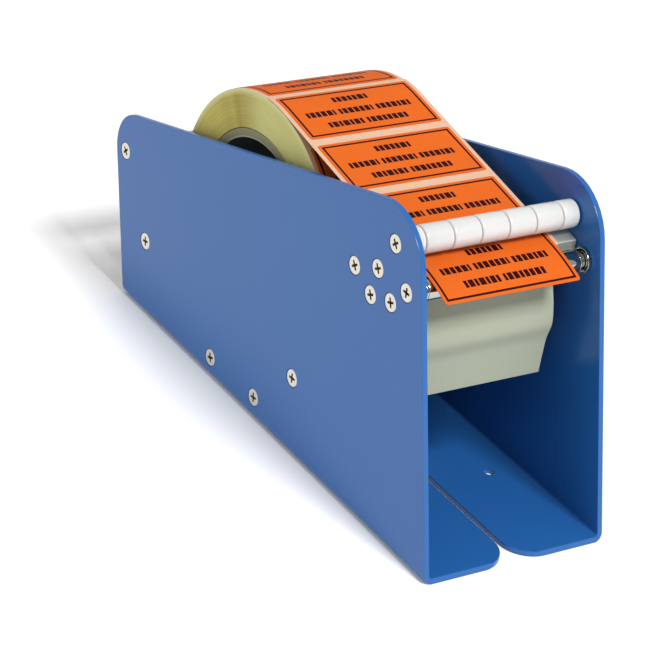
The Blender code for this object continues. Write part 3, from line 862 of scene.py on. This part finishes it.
def liner_rows():
    """The liner's path from its end on the roll, down the web, round the nose and down to the torn end."""
    wrap_end = labels_off_roll * label_pitch - label_reach - label_gap / 2
    rows = []
    for i in range(wrap_steps + 1):
        distance = wrap_end + (web_run - wrap_end) * i / wrap_steps
        rows.append(web_place(distance))
    rows += [web_place(web_run * (1 - i / web_steps)) for i in range(1, web_steps)]
    start = math.atan2(web_up.y, web_up.x)
    for i in range(nose_steps + 1):
        angle = start + (math.pi - start) * i / nose_steps
        out = Vector((math.cos(angle), math.sin(angle)))
        rows.append((nose + out * nose_wrap, out))
    low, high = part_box("liner_guide_bar")
    guide_front = Vector((low.y + guide_half, high.z - guide_half))
    bends = [guide_front - Vector((guide_half + sheet_lift, 0))]
    bends += [bends[0] - Vector((f, d)) for d, f in zip(tail_drops, tail_forwards)]
    tail = smooth_through(bends)
    for index, point in enumerate(tail):
        before, after = tail[max(index - 1, 0)], tail[min(index + 1, len(tail) - 1)]
        rows.append((point, upward((before - after).normalized())))
    return rows


def label_liner():
    """One long strip of liner: cream where it still carries labels, past the nose grey green and darker, as
    painted shade.
    """
    rows = liner_rows()
    distances = [0.0]
    for (a, _), (b, _) in zip(rows, rows[1:]):
        distances.append(distances[-1] + (b - a).length)
    path = [(point, up, distance) for (point, up), distance in zip(rows, distances)]
    half = [liner_width / 2] * len(path)
    thick = liner_thickness / 2
    mesh = sheet_mesh("backing_strip", path, half, liner_columns, -thick, thick)
    mesh.materials.append(materials["liner"])
    # The second slot is the liner past the nose, painted grey green and darker as shade.
    mesh.materials.append(materials["spent"])
    for face in mesh.polygons:
        if face.center.y < nose.x and face.center.z < nose.y:
            face.material_index = 1
    piece = new_piece("backing_strip", mesh, "liner", ("label_liner",))
    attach(piece, "frame")


def wound_roll():
    """The roll's body, with its layers a little uneven at both sides, and its card core."""
    low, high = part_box("label_roll")
    half = (high.x - low.x) / 2
    spot = middle("label_roll")
    core_outer = round_half("roll_core")
    side = []
    for index in range(roll_layers + 1):
        share = index / roll_layers
        radius = core_outer + fit_gap + (roll_radius - core_outer - fit_gap) * share
        quick, slow = (index * wave for wave in roll_layer_waves)
        dip = roll_layer_dip * (1 + math.sin(quick) * math.sin(slow + 1))
        side.append((radius, dip))
    left = [(-half + dip, radius) for radius, dip in side]
    right = [(half - dip, radius) for radius, dip in reversed(side)]
    mesh = lathe("wound_labels", left + right, roll_sides)
    mesh.materials.append(materials["roll"])
    mesh.materials.append(materials["liner"])
    for face in mesh.polygons:
        if face.center.yz.length > roll_radius - fit_gap and abs(face.normal.x) < 0.5:
            face.material_index = 1
    piece = new_piece("wound_labels", mesh, "roll", ("label_roll",))
    settle(piece, spot, "label_roll")
    bore = core_outer - core_wall
    outline = [(-half, bore), (-half, core_outer), (half, core_outer), (half, bore)]
    mesh = lathe("card_core", rounded(outline, core_edge), roll_sides)
    core = new_piece("card_core", mesh, "card", ("roll_core",))
    settle(core, middle("roll_core"), "label_roll")


def stage():
    """A wide pale floor."""
    mesh = bpy.data.meshes.new("floor")
    bm = bmesh.new()
    bmesh.ops.create_grid(bm, x_segments=floor_squares, y_segments=floor_squares, size=floor_reach)
    bm.to_mesh(mesh)
    bm.free()
    floor = bpy.data.objects.new("floor", mesh)
    bpy.context.scene.collection.objects.link(floor)
    surface = Recipe("pale_floor", (0.90, 0.90, 0.90, 1), 0.6)
    tone = surface.mix(surface.noise(3.0), (0.89, 0.89, 0.89, 1), (0.91, 0.91, 0.91, 1))
    surface.set("Base Color", tone)
    mesh.materials.append(surface.material)


def area_light(name, spot, size, power):
    """A square light that faces the object."""
    light = bpy.data.lights.new(name, "AREA")
    light.shape = "SQUARE"
    light.size = size
    light.energy = power
    lamp = bpy.data.objects.new(name, light)
    bpy.context.scene.collection.objects.link(lamp)
    lamp.location = spot
    lamp.rotation_euler = (Vector(light_target) - Vector(spot)).to_track_quat("-Z", "Y").to_euler()


def lights():
    """A white room, a key from high in front, and a broad weak fill from the left."""
    world = bpy.data.worlds.new("studio")
    bpy.context.scene.world = world
    world.use_nodes = True
    sky = world.node_tree.nodes["Background"]
    sky.inputs["Color"].default_value = (1, 1, 1, 1)
    sky.inputs["Strength"].default_value = room_brightness
    area_light("key", key_place, key_size, key_power)
    area_light("fill", fill_place, fill_size, fill_power)


def camera():
    """The photograph's view: level, then turned, tipped down and rolled."""
    forward = Vector((
        math.sin(camera_yaw) * math.cos(camera_pitch),
        math.cos(camera_yaw) * math.cos(camera_pitch),
        -math.sin(camera_pitch),
    ))
    level = Vector((math.cos(camera_yaw), -math.sin(camera_yaw), 0))
    above = level.cross(forward)
    right = level * math.cos(camera_roll) + above * math.sin(camera_roll)
    up = above * math.cos(camera_roll) - level * math.sin(camera_roll)
    data = bpy.data.cameras.new("camera")
    data.lens = camera_lens
    data.sensor_width = camera_sensor
    data.clip_start = camera_near
    view = bpy.data.objects.new("camera", data)
    bpy.context.scene.collection.objects.link(view)
    turned = Matrix((right, up, -forward)).transposed().to_4x4()
    view.matrix_world = Matrix.Translation(camera_place) @ turned
    bpy.context.scene.camera = view


def build():
    scene = bpy.context.scene
    scene.view_settings.view_transform = "Standard"
    dress_kept_nodes()
    rollers()
    screws()
    wound_roll()
    roll_labels()
    label_liner()
    web_labels()
    stage()
    lights()
    camera()


build()
